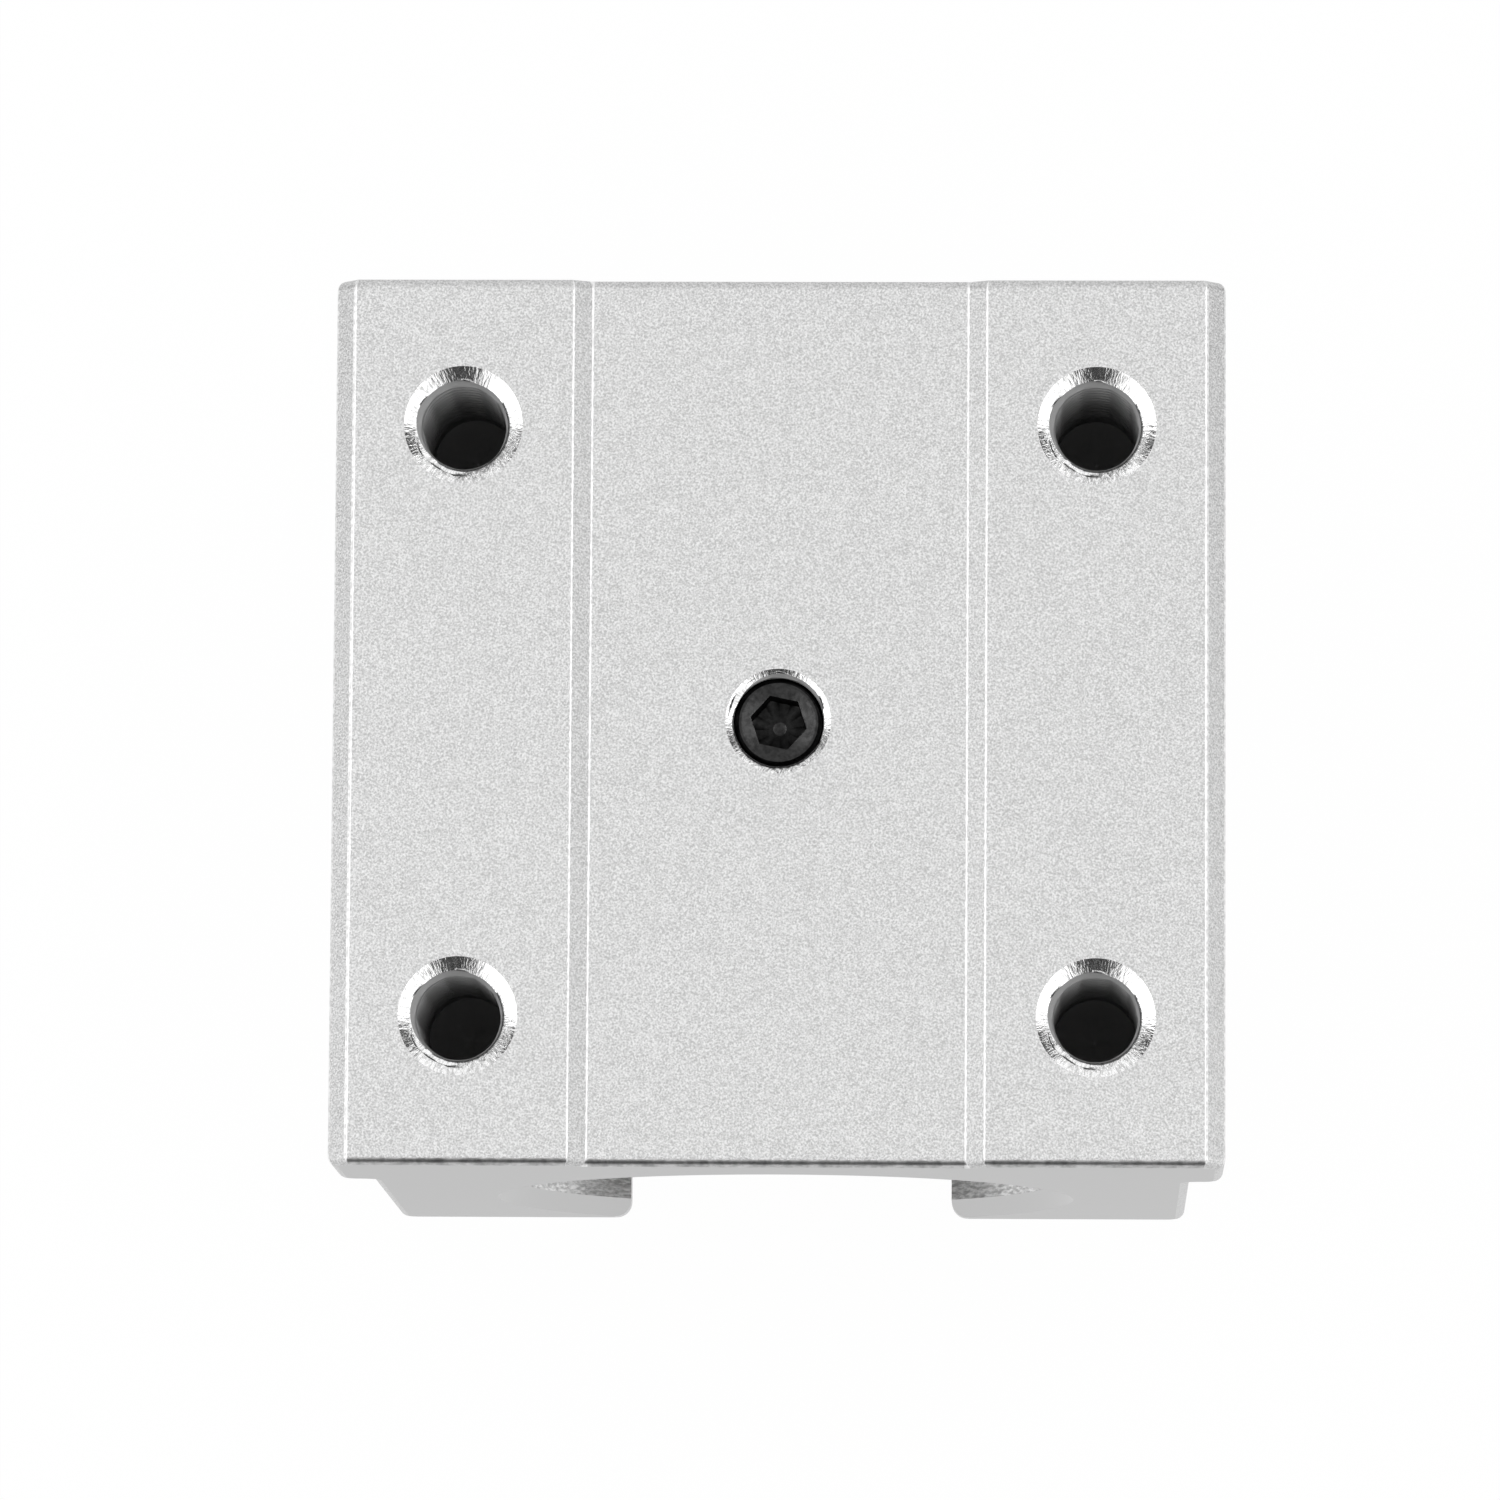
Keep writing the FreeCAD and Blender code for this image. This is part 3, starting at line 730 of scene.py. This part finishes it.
# the screw that bears on the bushing, in mm
screw = {
    "chamfer": 0.5, "dishRadius": 1.9, "dishDepth": 0.15, "tipRadius": 2.3, "clearance": 0.06,
    "socketWidth": 2.5, "socketDepth": 2.2, "socketTurn": 48.0,       # the turn in degrees
    "flatRadius": 0.34, "pointDepth": 0.5, "coneLip": 0.05,           # the drill's cone below the hexagon
    "over": 0.5, "segments": 96, "socketSegments": 180, "chamferRows": 5, "dishRows": 12,
}


def threadedBody(s, radius, tip, top, materials):
    # the threaded rod, chamfered at both ends
    row = thread["pitch"] / thread["rows"]
    rimStart = top - s["chamfer"]
    heights = [tip]
    z = tip + row
    while z < rimStart - row / 2:
        heights.append(z)
        z += row
    heights += [rimStart + s["chamfer"] * k / s["chamferRows"] for k in range(s["chamferRows"] + 1)]

    def radiusAt(angle, z):
        threaded = threadRadius(angle, z, s["clearance"])
        if z >= rimStart:
            return min(radius - (z - rimStart), threaded)
        return min(threaded, s["tipRadius"] + (z - tip))

    return uprightSolid("bushing_set_screw_piece", (0, 0), heights, radiusAt, s["segments"], materials, lambda z: 0)


def socketCutter(s, top, materials):
    # hexagon socket below a shallow dish, with the cone and the small flat that its drill left
    floor = top - s["socketDepth"]
    apothem = s["socketWidth"] / 2
    corner = apothem / math.cos(math.radians(30))
    slope = (s["dishRadius"] - apothem) / s["dishDepth"]

    def radiusAt(angle, z):
        if z < floor - s["coneLip"] / 2:
            return s["flatRadius"] if z < floor - s["coneLip"] * 2 else apothem
        turn = (math.degrees(angle) - s["socketTurn"]) % 60 - 30
        hexagon = corner * math.cos(math.radians(30)) / math.cos(math.radians(turn))
        return max(hexagon, s["dishRadius"] + (z - top) * slope)

    heights = [floor - s["pointDepth"], floor - s["coneLip"], floor]
    heights += [top - s["dishDepth"] + s["dishDepth"] * k / s["dishRows"] for k in range(s["dishRows"] + 1)]
    heights.append(top + s["over"])
    # the socket's walls take material 1, the darker copy with painted shade; its flat bottom and the dish keep
    # material 0
    return uprightSolid("cutter", (0, 0), heights, radiusAt, s["socketSegments"], materials,
                        lambda z: 1 if floor - s["pointDepth"] < z < top - s["dishDepth"] else 0)


def makeScrew(s):
    low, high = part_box("bushing_set_screw")
    radius, tip, top = high.x / mm, low.z / mm, high.z / mm
    # the second material is a darker copy for painted shade in the socket
    materials = [blackenedSteel("alloy steel blackened", "#2C2C2C", "#3C3C3C", 0.26),
                 blackenedSteel("alloy steel blackened, painted shade in the socket", "#222222", "#2E2E2E", 0.45)]
    body = threadedBody(s, radius, tip, top, materials)
    cutAway(body, [socketCutter(s, top, materials)])
    smoothAbove(body, 28)
    return dress(body, "bushing_set_screw")


makeScrew(screw)
print("set screw built")


def islandCentres(item):
    # middle of each separate solid of a CAD node
    work = bmesh.new()
    work.from_mesh(item.data)
    bmesh.ops.remove_doubles(work, verts=work.verts, dist=1e-6)
    taken = set()
    centres = []
    for first in work.verts:
        if first in taken:
            continue
        taken.add(first)
        group = [first]
        for vertex in group:
            for edge in vertex.link_edges:
                other = edge.other_vert(vertex)
                if other not in taken:
                    taken.add(other)
                    group.append(other)
        centres.append(sum((vertex.co for vertex in group), Vector()) / len(group))
    work.free()
    return centres


# the four ball circuits, each ball a true sphere where the CAD has a faceted one
balls = {"diameter": 3.175, "rounds": 3}


def makeBalls(s):
    material = polishedSteel()
    for node in ("upper_right_balls", "lower_right_balls", "upper_left_balls", "lower_left_balls"):
        work = bmesh.new()
        for centre in islandCentres(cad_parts[node]):
            bmesh.ops.create_icosphere(work, subdivisions=s["rounds"], radius=s["diameter"] / 2 * mm,
                                       matrix=Matrix.Translation(centre))
        mesh = bpy.data.meshes.new(node + "_piece")
        work.to_mesh(mesh)
        work.free()
        mesh.materials.append(material)
        mesh.polygons.foreach_set("use_smooth", [True] * len(mesh.polygons))
        piece = bpy.data.objects.new(node + "_piece", mesh)
        bpy.context.scene.collection.objects.link(piece)
        dress(piece, node)


makeBalls(balls)
print("balls built")


def sortFaces(work):
    # triangulating leaves the faces in another order each time, so they are put in the order of their corners
    work.verts.index_update()
    ordered = sorted(work.faces, key=lambda face: sorted(vertex.index for vertex in face.verts))
    place = {face: number for number, face in enumerate(ordered)}
    work.faces.sort(key=lambda face: place[face])


# the rest of the bushing and the circlips: radius on their edges in mm, where these turn by more than sharpAngle
edging = {"sleeve": 0.2, "retainer": 0.12, "circlip": 0.12, "seal": 0.15, "steps": 2, "sharpAngle": 35}


def softened(node, width, material):
    # copy of a CAD node with its sharp edges rounded by a radius of about width
    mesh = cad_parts[node].data.copy()
    work = bmesh.new()
    work.from_mesh(mesh)
    bmesh.ops.remove_doubles(work, verts=work.verts, dist=1e-6)
    bmesh.ops.dissolve_limit(work, angle_limit=math.radians(0.5), verts=work.verts, edges=work.edges)
    sharp = [edge for edge in work.edges if len(edge.link_faces) == 2
             and edge.calc_face_angle() > math.radians(edging["sharpAngle"])]
    bmesh.ops.bevel(work, geom=sharp, offset=width * mm, offset_type="OFFSET", segments=edging["steps"],
                    profile=0.5, affect="EDGES", clamp_overlap=True)
    bmesh.ops.triangulate(work, faces=[face for face in work.faces if len(face.verts) > 4])
    sortFaces(work)
    work.to_mesh(mesh)
    work.free()
    mesh.materials.clear()
    mesh.materials.append(material)
    piece = bpy.data.objects.new(node + "_piece", mesh)
    bpy.context.scene.collection.objects.link(piece)
    smoothAbove(piece, 30)
    return dress(piece, node)


softened("bushing_sleeve", edging["sleeve"], bearingSteel())
softened("ball_retainer", edging["retainer"], mouldedAcetal())
spring = phosphatedSteel()
rubber = nitrileRubber()
for place in ("front", "rear"):
    softened(place + "_circlip", edging["circlip"], spring)
    softened(place + "_end_seal", edging["seal"], rubber)
print("bushing and circlips built")
